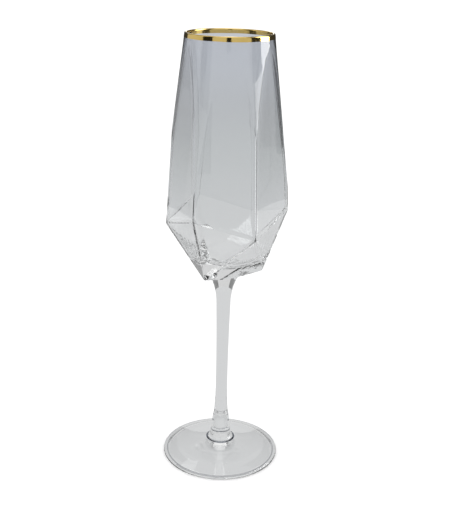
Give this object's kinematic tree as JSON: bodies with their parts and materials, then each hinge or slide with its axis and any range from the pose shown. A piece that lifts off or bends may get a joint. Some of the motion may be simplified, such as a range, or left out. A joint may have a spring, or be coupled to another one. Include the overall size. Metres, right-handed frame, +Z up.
{
  "type": "champagne flute",
  "caption": "Tall champagne flute: faceted smoke-tinted glass bowl with a gilded lip on a slim clear stem and a round clear foot.",
  "frame": {"origin": "centre of the plane that the foot stands on", "axes": "+Z up along the stem, -Y towards the viewer, +X to the viewer's right"},
  "size_m": [0.0706, 0.07, 0.255],
  "materials": {
    "smoked_glass": "polished glass with a grey-blue smoke lustre that fades to clear at the base",
    "clear_glass": "polished clear glass",
    "gold": "bright fired gold"
  },
  "bodies": {
    "root": {"bowl": "smoked_glass", "gold_rim": "gold", "stem": "clear_glass", "stub": "clear_glass", "foot": "clear_glass"}
  },
  "joints": []
}
